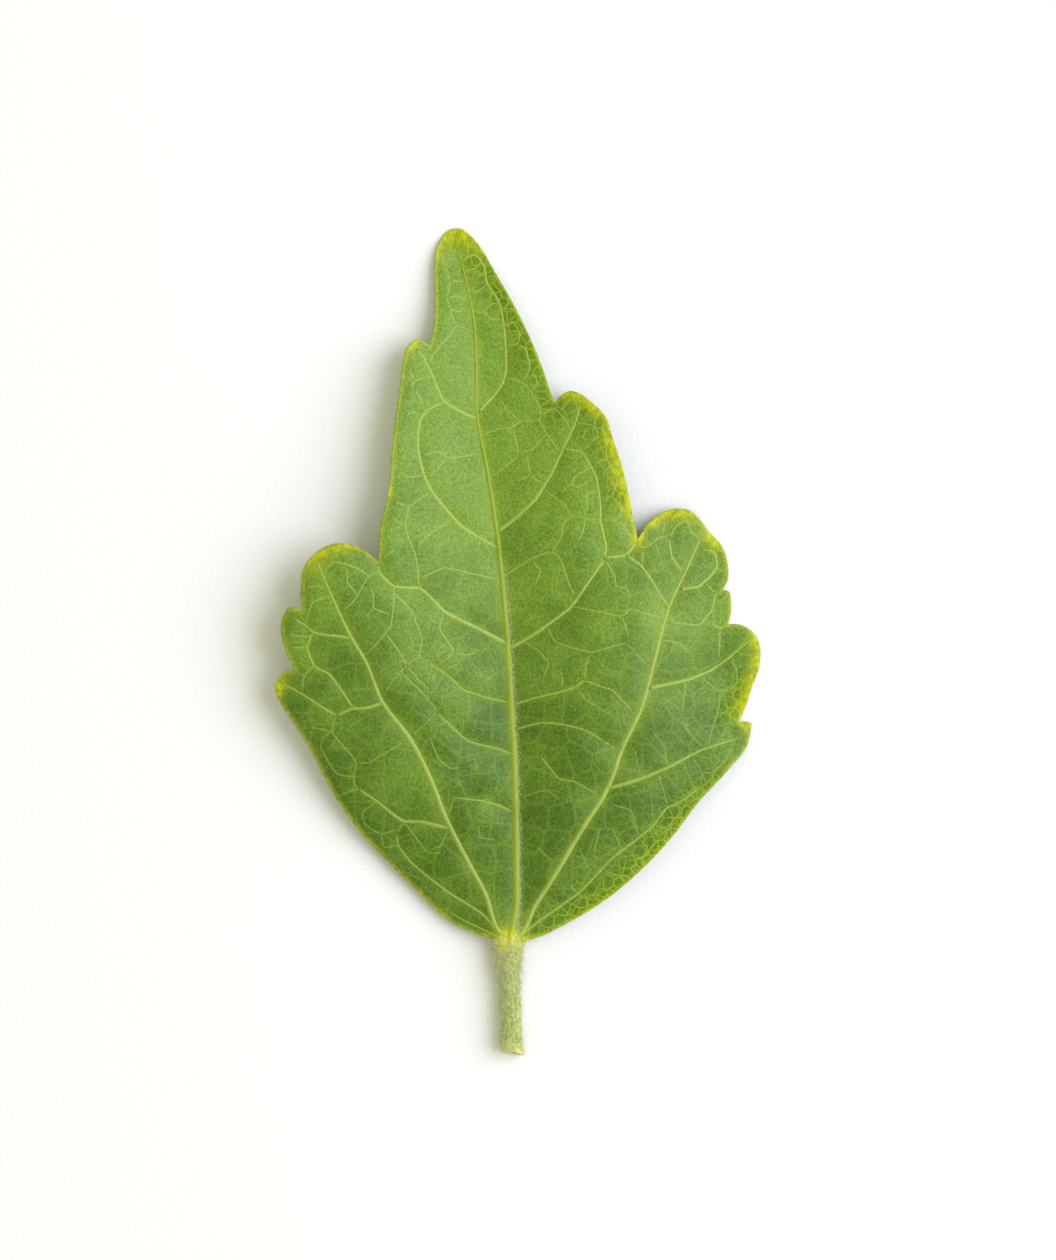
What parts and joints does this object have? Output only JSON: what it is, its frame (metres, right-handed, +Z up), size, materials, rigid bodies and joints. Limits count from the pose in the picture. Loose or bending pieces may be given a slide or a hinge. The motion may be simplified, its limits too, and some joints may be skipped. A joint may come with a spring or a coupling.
{
  "type": "hibiscus leaf",
  "caption": "Picked three-lobed toothed leaf with a short cut stalk, lying face up with its left side raised.",
  "frame": {"origin": "centre of the leaf's outline seen from above, on the surface it lies on", "axes": "+Y from the cut stalk towards the tip, +Z up from the surface, +X to the right as seen from above"},
  "size_m": [0.0338, 0.0578, 0.0042],
  "materials": {
    "leaf": "soft satin green leaf with paler veins"
  },
  "bodies": {
    "root": {"leaf": "leaf"}
  },
  "joints": []
}
